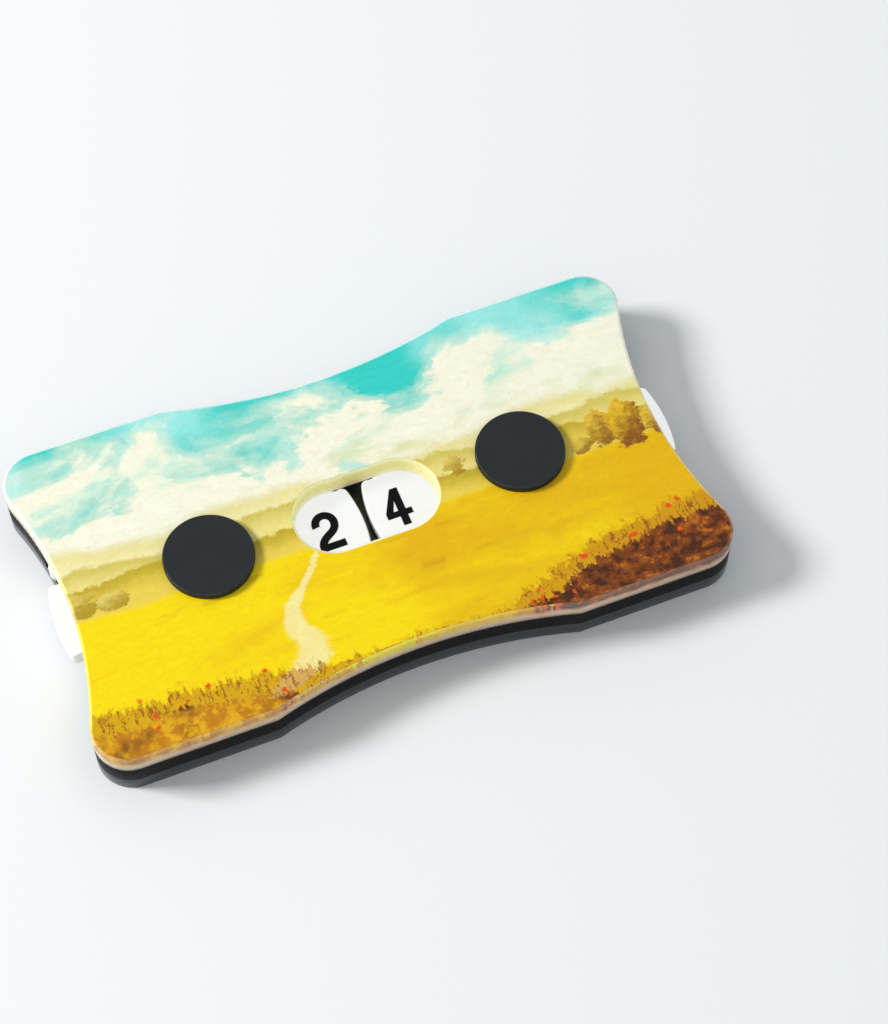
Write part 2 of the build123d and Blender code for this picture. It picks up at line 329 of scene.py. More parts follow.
def make_brush_dabs():
    """Moves each point towards the middle of its brush dab, and gives each dab a number of its own."""
    g = shader_group("brush_dabs", {"Vector": (0.0, 0.0, 0.0), "Length": 1.0, "Width": 0.5, "Hold": 0.8},
                     {"Vector": "NodeSocketVector", "Tint": "NodeSocketFloat"})
    size = g.join(g.entry["Length"], g.entry["Width"], 1.0)
    wobble = g.node("ShaderNodeTexNoise", {"Vector": g.entry["Vector"], "Scale": 0.5, "Detail": 2.0})
    wobble = g.vector("SUBTRACT", wobble.outputs["Color"], (0.5, 0.5, 0.5))
    wobble = g.vector("MULTIPLY", wobble, (1.6, 1.6, 0))
    bent = g.vector("ADD", g.entry["Vector"], wobble)
    cells = g.node("ShaderNodeTexVoronoi", {"Vector": g.vector("DIVIDE", bent, size), "Scale": 1.0},
                   voronoi_dimensions="2D")
    middle = g.vector("SUBTRACT", g.vector("MULTIPLY", cells.outputs["Position"], size), wobble)
    held = g.node("ShaderNodeMix", {0: g.entry["Hold"], 4: g.entry["Vector"], 5: middle},
                  data_type="VECTOR")
    g.feed(g.exit["Vector"], held.outputs[1])
    g.feed(g.exit["Tint"], g.parts(cells.outputs["Color"])[1])


def make_painted_ridge():
    """A rolling line across the painting: what lies under it, and how deep."""
    g = shader_group("painted_ridge", {"Vector": (0.0, 0.0, 0.0), "Height": 0.0, "Swell": 2.0, "Roll": 0.1,
                                       "Ragged": 0.5, "Softness": 0.3, "Seed": 0.0},
                     {"Mask": "NodeSocketFloat", "Depth": "NodeSocketFloat"})
    x, y, _ = g.parts(g.entry["Vector"])
    along = g.join(x, g.entry["Seed"])
    hills = g.math("SUBTRACT", g.noise(along, g.entry["Roll"], 1.0), 0.5)
    tufts = g.math("SUBTRACT", g.noise(g.join(x, g.math("MULTIPLY", y, 0.25)), 1.1, 4.0, 0.65), 0.5)
    crest = g.math("MULTIPLY", hills, g.math("MULTIPLY", g.entry["Swell"], 2.0))
    crest = g.math("ADD", crest, g.math("MULTIPLY", tufts, g.math("MULTIPLY", g.entry["Ragged"], 2.0)))
    depth = g.math("SUBTRACT", g.math("ADD", crest, g.entry["Height"]), y)
    g.feed(g.exit["Mask"], g.smooth(depth, 0.0, g.entry["Softness"]))
    g.feed(g.exit["Depth"], depth)


def make_painted_crown():
    """A leafy round crown, lit from its upper left."""
    g = shader_group("painted_crown", {"Vector": (0.0, 0.0, 0.0), "Centre": (0.0, 0.0, 0.0),
                                       "Size": (2.0, 2.0, 1.0), "Ragged": 0.5},
                     {"Mask": "NodeSocketFloat", "Light": "NodeSocketFloat"})
    near = g.vector("DIVIDE", g.vector("SUBTRACT", g.entry["Vector"], g.entry["Centre"]), g.entry["Size"])
    flat = g.vector("MULTIPLY", near, (1.0, 1.0, 0.0))
    leaves = g.math("SUBTRACT", g.noise(g.entry["Vector"], 0.9, 4.0, 0.65), 0.5)
    reach = g.node("ShaderNodeVectorMath", {0: flat}, operation="LENGTH").outputs["Value"]
    reach = g.math("ADD", reach, g.math("MULTIPLY", leaves, g.entry["Ragged"]))
    x, y, _ = g.parts(flat)
    lit = g.math("ADD", g.math("MULTIPLY", y, 0.5), g.math("MULTIPLY", x, -0.35))
    lit = g.math("ADD", lit, g.math("MULTIPLY", leaves, 1.6))
    g.feed(g.exit["Mask"], g.math("SUBTRACT", 1.0, g.smooth(reach, 0.86, 1.0)))
    g.feed(g.exit["Light"], g.smooth(lit, -0.45, 0.6))


def make_groups():
    """All the shared groups."""
    for make in (make_fine_scratches, make_dust, make_laser_edge, make_edge_band, make_brush_dabs,
                 make_painted_ridge, make_painted_crown, make_painted_landscape):
        make()


def new_material(name, **settings):
    """A material with one Principled shader, set by socket name, and its graph."""
    material = bpy.data.materials.new(name)
    material.use_nodes = True
    graph = Graph(material.node_tree)
    shader = material.node_tree.nodes["Principled BSDF"]
    for key, value in settings.items():
        graph.feed(shader.inputs[key.replace("_", " ")], value)
    return material, graph, shader.inputs


PAINT_NAMES = ("sky", "pale_sky", "cloud", "haze", "ridge", "field", "gold", "bank", "shade", "flower")


class Palette:
    """The paints of the landscape, as sockets of the group that they come in by."""

    def __init__(self, entry):
        for name in PAINT_NAMES:
            setattr(self, name, entry[name.replace("_", " ").capitalize()])


def paint_sky(g, place, paints):
    """Pale teal sky behind banks of cream cloud, with lit crowns, that thicken towards the skyline."""
    _, y, _ = g.parts(place)
    sky = g.mix(g.smooth(g.noise(place, 0.05, 2.0), 0.38, 0.6), paints.pale_sky, paints.sky)
    drawn = g.vector("MULTIPLY", place, (0.62, 1.0, 1.0))
    puffs = g.noise(g.vector("ADD", drawn, (57.0, 19.0, 0.0)), 0.085, 5.0, 0.56, 0.4)
    lower = g.math("MULTIPLY", g.math("SUBTRACT", 19.0, y), 0.016)
    thick = g.math("ADD", puffs, lower)
    veil = g.mix(g.math("MULTIPLY", g.smooth(thick, 0.36, 0.52), 0.55), sky, paints.cloud)
    shadow = g.noise(g.vector("ADD", drawn, (55.9, 20.8, 0.0)), 0.085, 3.0, 0.5, 0.4)
    relief = g.smooth(g.math("SUBTRACT", puffs, shadow), -0.17, 0.02)
    dim = g.mix(g.smooth(y, 4.0, 16.0), rgb(240, 234, 170), rgb(184, 240, 222))
    return g.mix(g.smooth(thick, 0.49, 0.55), veil, g.mix(relief, dim, paints.cloud))


def paint_field(g, place, paints):
    """A bright field with long golden strokes, and a pale path that winds through it."""
    x, y, _ = g.parts(place)
    strokes = g.noise(g.vector("MULTIPLY", place, (0.22, 1.0, 1.0)), 0.3, 4.0, 0.55, 0.6)
    patches = g.noise(g.vector("MULTIPLY", place, (0.5, 1.0, 1.0)), 0.06, 2.0)
    tone = g.math("ADD", g.math("MULTIPLY", strokes, 0.3), g.math("MULTIPLY", patches, 0.8))
    tone = g.math("ADD", tone, g.math("MULTIPLY", x, 0.0009))
    field = g.mix(g.smooth(tone, 0.46, 0.72), paints.field, paints.gold)
    field = g.mix(g.math("MULTIPLY", g.smooth(strokes, 0.6, 0.74), 0.45), field, rgb(206, 140, 10))
    low = g.smooth(y, -25.0, -5.0)
    bend = g.math("SINE", g.math("ADD", g.math("MULTIPLY", y, 0.3), 1.2))
    middle = g.math("ADD", g.math("MULTIPLY", bend, g.fit(low, 7.0, 2.0)), g.fit(low, -24.0, -9.0))
    away = g.math("ABSOLUTE", g.math("SUBTRACT", x, middle))
    ragged = g.math("MULTIPLY", g.math("SUBTRACT", strokes, 0.5), g.fit(low, 5.0, 0.8))
    edge = g.math("DIVIDE", g.math("ADD", away, ragged), g.fit(low, 3.4, 0.55))
    path = g.math("SUBTRACT", 1.0, g.smooth(edge, 0.6, 1.15))
    return g.mix(g.math("MULTIPLY", path, 0.8), field, rgb(252, 242, 172))


CROWNS = (
    # middle x, middle y, half width, half height, share of dark paint
    (-44.0, -1.0, 3.4, 2.2, 0.25),
    (-38.6, -1.6, 2.6, 1.6, 0.20),
    (1.4, 2.2, 2.6, 1.3, 0.20),
    (14.2, 1.6, 1.6, 2.0, 0.35),
    (36.4, -0.2, 2.4, 3.4, 0.75),
    (40.4, -0.8, 3.0, 4.4, 0.90),
    (44.6, -1.6, 2.2, 2.8, 0.80),
    (32.6, -2.2, 1.8, 1.5, 0.60),
)


def paint_bank(g, place, picture, paints):
    """The heath bank along the near edge: tall dry grass, dark tussocks and small flowers."""
    x, y, _ = g.parts(place)
    right = g.smooth(x, -20.0, 30.0)
    rise = g.math("MULTIPLY", g.smooth(g.math("ABSOLUTE", g.math("SUBTRACT", x, 1.0)), 3.0, 42.0),
                  g.fit(right, 4.4, 7.5))
    lifted = g.join(x, g.math("SUBTRACT", y, rise))
    grass = g.group("painted_ridge", vector=lifted, height=-22.6, swell=1.8, roll=0.12, ragged=3.2,
                    softness=0.6, seed=52.0)
    picture = g.mix(g.math("MULTIPLY", grass["Mask"], 0.7), picture, rgb(202, 138, 14))
    leaning = g.node("ShaderNodeMapping", {"Vector": place, "Rotation": (0, 0, 0.35),
                                           "Scale": (2.6, 0.34, 1.0)}).outputs[0]
    blades = g.noise(leaning, 1.0, 4.0, 0.6, 0.6)
    dry = g.math("MULTIPLY", g.smooth(grass["Depth"], -1.2, 1.4), g.smooth(blades, 0.54, 0.6))
    picture = g.mix(g.math("MULTIPLY", dry, 0.75), picture, paints.bank)
    bank = g.group("painted_ridge", vector=lifted, height=-25.4, swell=2.2, roll=0.13, ragged=2.8,
                   softness=0.4, seed=61.0)
    clumps = g.noise(place, 0.6, 6.0, 0.66)
    tone = g.mix(g.smooth(clumps, 0.4, 0.56), paints.shade, paints.bank)
    tone = g.mix(g.smooth(clumps, 0.54, 0.7), tone, rgb(206, 124, 24))
    golden = g.mix(g.smooth(clumps, 0.42, 0.6), rgb(196, 128, 16), rgb(232, 178, 22))
    bushy = g.smooth(g.math("ADD", g.math("MULTIPLY", right, 0.5), g.noise(place, 0.12, 3.0)), 0.42, 0.6)
    picture = g.mix(bank["Mask"], picture, g.mix(bushy, golden, tone))
    cells = g.node("ShaderNodeTexVoronoi", {"Vector": place, "Scale": 0.62}, voronoi_dimensions="2D")
    chance = g.parts(cells.outputs["Color"])[0]
    dots = g.math("MULTIPLY", g.math("LESS_THAN", chance, 0.13),
                  g.math("SUBTRACT", 1.0, g.smooth(cells.outputs["Distance"], 0.2, 0.32)))
    above = g.smooth(g.math("SUBTRACT", 3.0, bank["Depth"]), 0.0, 1.0)
    near = g.math("MULTIPLY", g.smooth(grass["Depth"], -1.5, 0.5), above)
    return g.mix(g.math("MULTIPLY", dots, near), picture, paints.flower)


def make_painted_landscape():
    """A generic landscape: sky, hazy ridges, a field with a path, round trees and a heath bank."""
    defaults = {name.replace("_", " ").capitalize(): (0.5, 0.5, 0.5, 1.0) for name in PAINT_NAMES}
    g = shader_group("painted_landscape", {"Vector": (0.0, 0.0, 0.0), **defaults},
                     {"Color": "NodeSocketColor"})
    paints = Palette(g.entry)
    place = g.entry["Vector"]
    picture = paint_sky(g, place, paints)
    layers = (
        # height, swell, roll, ragged, softness, seed, colour at the crest, colour below
        (7.6, 4.4, 0.055, 0.5, 2.6, 3.0, paints.haze, rgb(248, 240, 178)),
        (4.6, 3.6, 0.085, 0.9, 0.8, 11.0, rgb(214, 198, 92), rgb(244, 230, 140)),
        (1.4, 2.6, 0.070, 1.0, 0.5, 23.0, paints.ridge, rgb(240, 214, 84)),
    )
    for height, swell, roll, ragged, softness, seed, crest, foot in layers:
        ridge = g.group("painted_ridge", vector=place, height=height, swell=swell, roll=roll, ragged=ragged,
                        softness=softness, seed=seed)
        tone = g.mix(g.smooth(ridge["Depth"], 0.0, 4.0), crest, foot)
        picture = g.mix(ridge["Mask"], picture, tone)
    ground = g.group("painted_ridge", vector=place, height=-3.0, swell=1.2, roll=0.05, ragged=0.35,
                     softness=0.9, seed=40.0)
    picture = g.mix(ground["Mask"], picture, paint_field(g, place, paints))
    for x, y, half_width, half_height, dark in CROWNS:
        crown = g.group("painted_crown", vector=place, centre=(x, y, 0.0), ragged=1.1,
                        size=(half_width, half_height, 1.0))
        deep = g.mix(dark, paints.ridge, paints.bank)
        lit = g.mix(dark, paints.haze, paints.gold)
        picture = g.mix(crown["Mask"], picture, g.mix(crown["Light"], deep, lit))
    g.feed(g.exit["Color"], paint_bank(g, place, picture, paints))


def painted(g, place, paints):
    """The landscape laid on in brush dabs of two sizes, and each dab's own tint."""
    broad = g.group("brush_dabs", vector=place, length=1.5, width=0.6, hold=0.6)
    fine = g.group("brush_dabs", vector=place, length=0.5, width=0.3, hold=0.5)
    blend = g.smooth(g.noise(place, 0.16, 2.0), 0.4, 0.56)
    dabbed = g.node("ShaderNodeMix", {0: blend, 4: broad["Vector"], 5: fine["Vector"]}, data_type="VECTOR")
    chosen = {name: (*getattr(paints, name), 1.0) for name in PAINT_NAMES}
    picture = g.group("painted_landscape", vector=dabbed.outputs[1], **chosen)["Color"]
    tint = g.math("ADD", g.math("MULTIPLY", broad["Tint"], 0.5), g.math("MULTIPLY", fine["Tint"], 0.5))
    return g.mix(1.0, picture, g.mix(tint, rgb(246, 243, 238), rgb(255, 255, 255)), "MULTIPLY"), tint


def let_light_through(g, shader, share):
    """Lets a share of the light through a clear or thinly printed layer, to what lies close under it."""
    path = g.node("ShaderNodeLightPath").outputs
    close = g.math("LESS_THAN", path["Ray Length"], LIGHT_REACH)
    lighting = g.math("MAXIMUM", path["Is Shadow Ray"], path["Is Diffuse Ray"])
    passed = g.math("MULTIPLY", g.math("MULTIPLY", lighting, close), share)
    g.feed(shader["Alpha"], g.math("SUBTRACT", 1.0, passed))


def printed_ink(paints):
    """Semi-gloss ink with the painted landscape."""
    material, g, shader = new_material("printed_ink", IOR=1.46, Specular_IOR_Level=0.25)
    place = g.millimetres()
    picture, tint = painted(g, place, paints)
    wear = g.group("fine_scratches", vector=place, density=0.8)
    g.feed(shader["Base Color"], picture)
    g.feed(shader["Roughness"], g.math("ADD", 0.34, g.math("MULTIPLY", wear["Smear"], 0.12)))
    grain = g.math("ADD", g.noise(place, 5.0, 2.0), g.math("MULTIPLY", tint, 0.6))
    g.feed(shader["Normal"], g.bump(grain, 0.002 * MM))
    let_light_through(g, shader, 0.94)
    return material


def clear_acrylic(paints, low, high):
    """The clear sheet, as a milky body: its rippled cut edges are cream, with painted light: paler and
    warmer at the lamp's side and darker pinkish away from it, the print's colours painted into their upper
    part for the light led through them, and a painted glow round the window.
    """
    material, g, shader = new_material("clear_acrylic", IOR=1.49, Specular_IOR_Level=0.2,
                                       Transmission_Weight=0.06, Subsurface_Weight=1.0,
                                       Subsurface_Radius=(0.6, 0.8, 1.0), Subsurface_Scale=6 * MM)
    place = g.millimetres()
    cut = g.group("laser_edge", vector=place, pitch=0.3)
    x, y, z = g.parts(place)
    # Painted light: the cut edge is paler and warmer at the left, towards the lamp, and darker and pinkish
    # at the right, away from it
    tone = g.mix(g.smooth(x, -20.0, 50.0), paints.sheet, rgb(228, 192, 176))
    tone = g.mix(cut["Ripple"], tone, rgb(248, 214, 180))
    rise = g.math("DIVIDE", g.math("SUBTRACT", z, low), high - low)
    print_glow_height = g.math("ADD", rise, g.math("MULTIPLY", g.noise(place, 0.5, 3.0, 0.6), 0.5))
    # Painted light: the upper part of a cut edge takes the print's colours, as the light led through the
    # clear sheet would carry them, gathered from a little further in
    picture, _ = painted(g, g.vector("MULTIPLY", place, (1.0, 0.95, 1.0)), paints)
    edge = g.mix(g.math("MULTIPLY", g.smooth(print_glow_height, 0.5, 0.98), 0.85), tone, picture)
    # Painted glow: round the window the walls are painted bright pale yellow, for the light that the clear
    # sheet leads to them
    around = g.node("ShaderNodeVectorMath", {0: g.join(g.math("MULTIPLY", x, 0.5), y)}, operation="LENGTH")
    window_glow_mask = g.math("SUBTRACT", 1.0, g.smooth(around.outputs["Value"], WINDOW_GLOW_FULL, WINDOW_GLOW_END))
    window_glow_tone = g.mix(cut["Ripple"], rgb(255, 242, 176), rgb(255, 230, 148))
    g.feed(shader["Base Color"], g.mix(window_glow_mask, edge, window_glow_tone))
    g.feed(shader["Roughness"], g.math("ADD", 0.14, g.math("MULTIPLY", cut["Side"], 0.2)))
    g.feed(shader["Normal"], g.bump(cut["Ripple"], 0.02 * MM))
    let_light_through(g, shader, 0.97)
    return material


def gloss_black(paints, low, high):
    """The bottom sheet: polished black faces with hairlines, and a cut edge that is a little paler."""
    material, g, shader = new_material("gloss_black_acrylic", IOR=1.49, Specular_IOR_Level=0.36)
    place = g.millimetres()
    cut = g.group("laser_edge", vector=place, pitch=0.35)
    scratches = g.group("fine_scratches", vector=place, density=1.0)
    worn = g.group("edge_band", vector=place, low=low, high=high, width=0.16)["Mask"]
    dusty = g.group("dust", vector=place, amount=0.4)["Mask"]
    cut_tone = g.mix(cut["Side"], paints.base, rgb(56, 61, 65))
    pale = g.mix(g.math("MULTIPLY", worn, 0.35), cut_tone, rgb(118, 122, 126))
    g.feed(shader["Base Color"], g.mix(g.math("MULTIPLY", dusty, 0.5), pale, rgb(170, 170, 168)))
    rough = g.math("ADD", 0.1, g.math("MULTIPLY", scratches["Lines"], 0.22))
    rough = g.math("ADD", rough, g.math("MULTIPLY", scratches["Smear"], 0.08))
    g.feed(shader["Roughness"], g.math("ADD", rough, g.math("MULTIPLY", cut["Side"], 0.1)))
    g.feed(shader["Normal"], g.bump(cut["Ripple"], 0.012 * MM))
    return material


def matt_black(paints, low, high):
    """The middle sheet: nearly all that shows is its matt cut edge."""
    material, g, shader = new_material("matt_black_acrylic", IOR=1.49, Specular_IOR_Level=0.12)
    place = g.millimetres()
    cut = g.group("laser_edge", vector=place, pitch=0.25)
    worn = g.group("edge_band", vector=place, low=low, high=high, width=0.12)["Mask"]
    soot = g.mix(g.smooth(g.noise(place, 1.4, 4.0, 0.6), 0.35, 0.7), paints.spacer, rgb(14, 11, 9))
    g.feed(shader["Base Color"], g.mix(g.math("MULTIPLY", worn, 0.25), soot, rgb(72, 70, 70)))
    g.feed(shader["Roughness"], g.math("ADD", 0.42, g.math("MULTIPLY", cut["Ripple"], 0.25)))
    g.feed(shader["Normal"], g.bump(cut["Ripple"], 0.02 * MM))
    return material


def bond_tape(paints):
    """Thin dark bond layer, a little uneven where it was squeezed."""
    material, g, shader = new_material("bond_tape")
    place = g.millimetres()
    uneven = g.noise(place, 0.9, 3.0, 0.6)
    g.feed(shader["Base Color"], g.mix(uneven, paints.tape, rgb(14, 14, 15)))
    g.feed(shader["Roughness"], g.fit(uneven, 0.4, 0.7))
    g.feed(shader["Normal"], g.bump(uneven, 0.01 * MM))
    return material


def white_acrylic(paints, low, high):
    """The dials: white acrylic, with faint rub marks and a cut edge that is slightly warm."""
    material, g, shader = new_material("white_acrylic", IOR=1.49, Subsurface_Weight=0.12,
                                       Subsurface_Radius=(1.0, 0.95, 0.9), Subsurface_Scale=0.6 * MM)
    place = g.millimetres()
    cut = g.group("laser_edge", vector=place, pitch=0.3)
    scratches = g.group("fine_scratches", vector=place, density=1.3)
    worn = g.group("edge_band", vector=place, low=low, high=high, width=0.15)["Mask"]
    side = g.mix(g.math("MULTIPLY", cut["Side"], 0.5), paints.dial, rgb(236, 234, 228))
    rubbed = g.mix(g.math("MULTIPLY", scratches["Lines"], 0.12), side, rgb(186, 186, 190))
    g.feed(shader["Base Color"], g.mix(g.math("MULTIPLY", worn, 0.3), rubbed, rgb(214, 212, 208)))
    rough = g.math("ADD", 0.26, g.math("MULTIPLY", scratches["Lines"], 0.15))
    g.feed(shader["Roughness"], g.math("ADD", rough, g.math("MULTIPLY", cut["Side"], 0.12)))
    g.feed(shader["Normal"], g.bump(cut["Ripple"], 0.012 * MM))
    return material


def digit_ink(paints):
    """Dense black ink with pinholes that are just visible close up."""
    material, g, shader = new_material("digit_ink", IOR=1.45, Specular_IOR_Level=0.12)
    place = g.millimetres()
    grain = g.noise(place, 6.0, 3.0, 0.6)
    g.feed(shader["Base Color"], g.mix(g.smooth(grain, 0.6, 0.8), paints.digit, rgb(16, 16, 18)))
    g.feed(shader["Roughness"], g.fit(grain, 0.36, 0.5))
    g.feed(shader["Normal"], g.bump(grain, 0.004 * MM))
    return material


def black_post(paints, low, high):
    """Matt black posts with a fine blasted grain, brighter where their rims have rubbed."""
    material, g, shader = new_material("black_post", IOR=1.5, Specular_IOR_Level=0.28)
    place = g.millimetres()
    grain = g.noise(place, 7.0, 3.0, 0.6)
    cloud = g.noise(place, 0.25, 3.0, 0.6)
    worn = g.group("edge_band", vector=place, low=low, high=high, width=0.1)["Mask"]
    dusty = g.group("dust", vector=place, amount=0.25)["Mask"]
    tone = g.mix(g.smooth(cloud, 0.35, 0.65), paints.post, rgb(19, 23, 24))
    tone = g.mix(g.math("MULTIPLY", worn, 0.5), tone, rgb(112, 114, 116))
    g.feed(shader["Base Color"], g.mix(g.math("MULTIPLY", dusty, 0.4), tone, rgb(150, 150, 148)))
    g.feed(shader["Roughness"], g.fit(grain, 0.5, 0.64))
    g.feed(shader["Normal"], g.bump(grain, 0.006 * MM))
    return material


def bright_steel(name, paints, pitch):
    """Turned or rolled steel with fine rings or strokes and slight tarnish."""
    material, g, shader = new_material(name, Metallic=1.0)
    place = g.millimetres()
    grain = g.noise(g.vector("MULTIPLY", place, (1.0, 1.0, 4.0)), 1 / pitch, 3.0, 0.6)
    stain = g.noise(place, 0.4, 4.0, 0.6)
    g.feed(shader["Base Color"], g.mix(g.smooth(stain, 0.4, 0.75), paints.steel, rgb(138, 134, 128)))
    g.feed(shader["Roughness"], g.fit(grain, 0.22, 0.42))
    g.feed(shader["Normal"], g.bump(grain, 0.005 * MM))
    return material


def washer_nylon(paints):
    """Natural nylon, slightly waxy and mottled."""
    material, g, shader = new_material("washer_nylon", IOR=1.53, Subsurface_Weight=0.2,
                                       Subsurface_Scale=0.3 * MM)
    place = g.millimetres()
    mottle = g.noise(place, 1.5, 3.0, 0.6)
    g.feed(shader["Base Color"], g.mix(mottle, paints.nylon, rgb(204, 200, 186)))
    g.feed(shader["Roughness"], g.fit(mottle, 0.4, 0.55))
    g.feed(shader["Normal"], g.bump(mottle, 0.01 * MM))
    return material


# Meshes

def heights(node):
    """The lowest and highest Z of a node, in millimetres."""
    low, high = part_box(node)
    return {"low": low.z / MM, "high": high.z / MM}


def smooth_sides(bm):
    """Flat shading for the level faces, smooth shading for the rest, sharp where two walls meet."""
    bm.normal_update()
    for face in bm.faces:
        face.smooth = abs(face.normal.z) < LEVEL_NORMAL
    for edge in bm.edges:
        edge.smooth = edge.calc_face_angle(0) < SHARP_ANGLE


def softened_copy(node, edge_width, segments=3, stretch_down=0.0, stretch_up=0.0):
    """A welded copy of a node's mesh with its sharp edges rounded off, as a new object in its place."""
    bm = bmesh.new()
    bm.from_mesh(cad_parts[node].data)
    bmesh.ops.remove_doubles(bm, verts=bm.verts, dist=WELD_DISTANCE)
    bmesh.ops.dissolve_limit(bm, angle_limit=math.radians(0.3), verts=bm.verts, edges=bm.edges)
    low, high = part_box(node)
    for vertex in bm.verts:
        if vertex.co.z > (low.z + high.z) / 2:
            vertex.co.z += stretch_up
        else:
            vertex.co.z -= stretch_down
    if edge_width:
        sharp = [e for e in bm.edges if e.calc_face_angle(0) > SHARP_ANGLE]
        bmesh.ops.bevel(bm, geom=sharp, offset=edge_width, offset_type="OFFSET", segments=segments,
                        profile=0.5, affect="EDGES", clamp_overlap=True)
    smooth_sides(bm)
    mesh = bpy.data.meshes.new(node + "_finished")
    bm.to_mesh(mesh)
    bm.free()
    piece = bpy.data.objects.new(node + "_finished", mesh)
    bpy.context.scene.collection.objects.link(piece)
    return piece


def dress(piece, body, slot, material, *nodes):
    """Gives a piece its material and body, and hides the nodes that it stands for."""
    piece.data.materials.clear()
    piece.data.materials.append(material)
    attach(piece, body)
    if nodes:
        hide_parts(*nodes)


def paint_node(node, material):
    """Gives a CAD node that stays a better material."""
    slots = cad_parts[node].material_slots
    for slot in slots:
        slot.material = material
    if not slots:
        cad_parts[node].data.materials.append(material)


def arc(centre, radius, start, end, steps):
    """Points along an arc, both ends included."""
    angles = (start + (end - start) * i / steps for i in range(steps + 1))
    return [(centre[0] + radius * math.cos(a), centre[1] + radius * math.sin(a)) for a in angles]


def lobe_outline(rim, sizes, inset):
    """One lobe's outline, from the middle of one notch to the middle of the next, moved in by an inset."""
    half_pitch = math.pi / sizes.lobes
    notch = sizes.notch_width / 2
    root = rim - sizes.notch_depth + notch
    corner = sizes.lobe_corner
    # Seen along the notch's centre line, the corner's arc touches the rim and the notch's wall
    corner_y = notch + corner
    corner_x = math.sqrt((rim - corner) ** 2 - corner_y ** 2)
    corner_turn = math.atan2(corner_y, corner_x)
    half = arc((root, 0), notch + inset, math.pi, math.pi / 2, 8)
    half += arc((corner_x, corner_y), corner - inset, -math.pi / 2, corner_turn, 7)
    half = [(x * math.cos(half_pitch) + y * math.sin(half_pitch),
             y * math.cos(half_pitch) - x * math.sin(half_pitch)) for x, y in half]
    first = half_pitch - corner_turn
    crown = arc((0, 0), rim - inset, -first, first, 10)[1:-1]
    return half + crown + [(x, -y) for x, y in reversed(half)]


def lobe_mesh(rim, low, high, sizes):
    """One lobe of a dial with its share of the hub and bore, open where its neighbours join on."""
    edge = sizes.dial_edge
    turns = [math.pi / 2 * i / 3 for i in range(4)]
    rows = []
    for turn in turns:
        rows.append((edge * (1 - math.sin(turn)), low + edge * (1 - math.cos(turn))))
    rows += [(inset, high - (z - low)) for inset, z in reversed(rows)]
    rings = [[(x, y, z) for x, y in lobe_outline(rim, sizes, inset)] for inset, z in rows]
    count = len(rings[0])
    half_pitch = math.pi / sizes.lobes
    bore = arc((0, 0), sizes.bore, -half_pitch, half_pitch, count - 1)
    rings.insert(0, [(x, y, low) for x, y in bore])
    rings.append([(x, y, high) for x, y in bore])
    bm = bmesh.new()
    verts = [[bm.verts.new(p) for p in ring] for ring in rings]
    verts.append(verts[0])
    for lower, upper in zip(verts, verts[1:]):
        for i in range(count - 1):
            bm.faces.new((lower[i], lower[i + 1], upper[i + 1], upper[i]))
    mesh = bpy.data.meshes.new("dial_lobe")
    bm.to_mesh(mesh)
    bm.free()
    return mesh


def ring_tree():
    """A Geometry Nodes tree that repeats a mesh round a centre."""
    tree = bpy.data.node_groups.new("ring_of_lobes", "GeometryNodeTree")
    kinds = {"Geometry": "NodeSocketGeometry", "Count": "NodeSocketInt", "Centre": "NodeSocketVector",
             "Start": "NodeSocketFloat", "Material": "NodeSocketMaterial"}
    for name, kind in kinds.items():
        tree.interface.new_socket(name, in_out="INPUT", socket_type=kind)
    tree.interface.new_socket("Geometry", in_out="OUTPUT", socket_type="NodeSocketGeometry")
    g = Graph(tree)
    entry = tree.nodes.new("NodeGroupInput").outputs
    points = g.node("GeometryNodePoints", {"Count": entry["Count"], "Position": entry["Centre"]})
    step = g.math("DIVIDE", math.tau, entry["Count"])
    index = g.node("GeometryNodeInputIndex").outputs[0]
    turn = g.math("ADD", g.math("MULTIPLY", index, step), entry["Start"])
    copies = g.node("GeometryNodeInstanceOnPoints", {"Points": points.outputs[0],
                                                     "Instance": entry["Geometry"],
                                                     "Rotation": g.join(0.0, 0.0, turn)})
    real = g.node("GeometryNodeRealizeInstances", {0: copies.outputs[0]})
    finished = g.node("GeometryNodeSetMaterial", {"Geometry": real.outputs[0],
                                                  "Material": entry["Material"]})
    g.node("NodeGroupOutput", {0: finished.outputs[0]})
    return tree


def ring_piece(name, mesh, tree, values):
    """Runs a ring tree on a mesh and returns the welded result as a plain object."""
    holder = bpy.data.objects.new(name + "_lobe", mesh)
    bpy.context.scene.collection.objects.link(holder)
    modifier = holder.modifiers.new("ring", "NODES")
    modifier.node_group = tree
    for item in tree.interface.items_tree:
        if item.in_out == "INPUT" and item.name in values:
            modifier[item.identifier] = values[item.name]
    depsgraph = bpy.context.evaluated_depsgraph_get()
    result = bpy.data.meshes.new_from_object(holder.evaluated_get(depsgraph))
    bpy.data.objects.remove(holder)
    bm = bmesh.new()
    bm.from_mesh(result)
    bmesh.ops.remove_doubles(bm, verts=bm.verts, dist=2 * WELD_DISTANCE)
    bmesh.ops.recalc_face_normals(bm, faces=bm.faces)
    smooth_sides(bm)
    bm.to_mesh(result)
    bm.free()
    result.name = name
    piece = bpy.data.objects.new(name, result)
    bpy.context.scene.collection.objects.link(piece)
    return piece


# Operators

class CounterBuilder:
    """What the operators share: the scene's settings."""

    bl_options = {"REGISTER", "UNDO"}

    @property
    def sizes(self):
        return bpy.context.scene.counter_sizes

    @property
    def paints(self):
        return bpy.context.scene.counter_colours


class COUNTER_OT_finishes(CounterBuilder, bpy.types.Operator):
    """Makes the shared node groups that the materials use"""

    bl_idname = "counter.finishes"
    bl_label = "Shared finishes"

    def execute(self, context):
        make_groups()
        return {"FINISHED"}


class COUNTER_OT_base_plate(CounterBuilder, bpy.types.Operator):
    """Finishes the gloss black bottom sheet"""

    bl_idname = "counter.base_plate"
    bl_label = "Base plate"

    def execute(self, context):
        piece = softened_copy("base_plate", self.sizes.sheet_edge)
        material = gloss_black(self.paints, **heights("base_plate"))
        dress(piece, "root", "black_acrylic", material, "base_plate")
        return {"FINISHED"}


